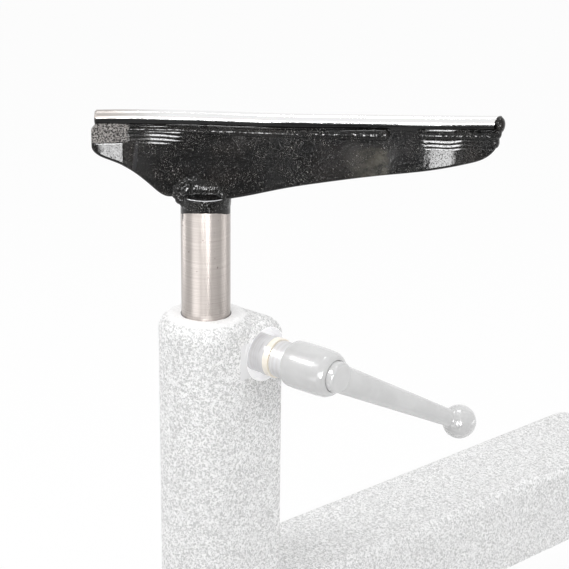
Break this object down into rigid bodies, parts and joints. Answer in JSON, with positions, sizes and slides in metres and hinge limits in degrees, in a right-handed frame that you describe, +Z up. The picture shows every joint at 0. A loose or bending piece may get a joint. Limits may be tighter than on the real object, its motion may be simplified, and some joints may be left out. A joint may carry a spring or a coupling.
{
  "type": "lathe tool rest",
  "caption": "Lathe tool rest with a rod-edged plate on a round post, held in a cast column on a foot arm with a lever clamp and a cam bed clamp.",
  "frame": {"origin": "on the machined sole of the holder's foot arm, on the axis of the post", "axes": "+Z up along the post, +Y along the foot arm away from the turner, +X towards the clamp lever's side"},
  "size_m": [0.1445, 0.4093, 0.3809],
  "materials": {
    "black_paint": "gloss black paint over welded steel",
    "polished_rod": "polished hardened steel",
    "post_steel": "turned steel",
    "vein_paint": "pale hammered vein paint on cast iron",
    "machined_steel": "machined",
    "brass": "turned brass",
    "lever_enamel": "glossy enamel on a casting",
    "knob_plastic": "gloss plastic"
  },
  "bodies": {
    "holder": {"holder_casting": "vein_paint", "cotter_outer": "machined_steel", "front_bush": "brass", "rear_bush": "brass"},
    "post": {"post": "post_steel"},
    "rest": {"rest_plate": "black_paint", "gauge_rod": "polished_rod", "rod_weld": "black_paint", "post_weld": "black_paint"},
    "inner_cotter": {"cotter_inner": "machined_steel"},
    "clamp_screw": {"clamp_stud": "machined_steel", "lever_insert": "machined_steel", "lever_cap": "lever_enamel", "lever_spring": "machined_steel", "steel_washer": "machined_steel", "brass_washer": "brass"},
    "lever": {"lever_handle": "lever_enamel"},
    "cam": {"cam_shaft": "machined_steel", "shaft_ring": "machined_steel", "handle_hub": "lever_enamel", "handle_set_screw": "machined_steel", "handle_rod": "machined_steel", "handle_knob": "knob_plastic"},
    "bed_clamp": {"clamp_bolt": "machined_steel", "clamp_plate": "machined_steel", "clamp_washer": "machined_steel", "clamp_nut": "machined_steel"}
  },
  "joints": [
    {"name": "post_height", "type": "slide", "parent": "holder", "child": "post", "axis": [0, 0, 1], "range_m": [-0.055, 0.04]},
    {"name": "rest_swivel", "type": "hinge", "parent": "post", "child": "rest", "pos_m": [0, 0, 0.2761], "axis": [0, 0, 1], "continuous": true},
    {"name": "lever_turn", "type": "hinge", "parent": "holder", "child": "clamp_screw", "pos_m": [-0.00313, 0.01773, 0.1912], "axis": [0.9848, 0.1736, 0], "range_deg": [0, 90]},
    {"name": "cotter_release", "type": "slide", "parent": "holder", "child": "inner_cotter", "axis": [-0.9848, -0.1736, 0], "range_m": [0, 0.0005]},
    {"name": "lever_lift", "type": "slide", "parent": "clamp_screw", "child": "lever", "axis": [0.9848, 0.1736, 0], "range_m": [0, 0.004], "stiffness_N_per_m": 800, "springref_m": -0.006, "deforming": ["lever_spring"]},
    {"name": "cam_turn", "type": "hinge", "parent": "holder", "child": "cam", "pos_m": [0.0022, 0, 0.024], "axis": [0, -1, 0], "range_deg": [0, 80]},
    {"name": "bed_clamp_lift", "type": "slide", "parent": "holder", "child": "bed_clamp", "axis": [0, 0, 1], "range_m": [-0.00309, 0]}
  ],
  "couplings": [
    {"joint": "cotter_release", "follows": "lever_turn", "m_per_rad": 0.0002527},
    {"joint": "cam_turn", "follows": "bed_clamp_lift", "rad_per_m": -452.5}
  ]
}
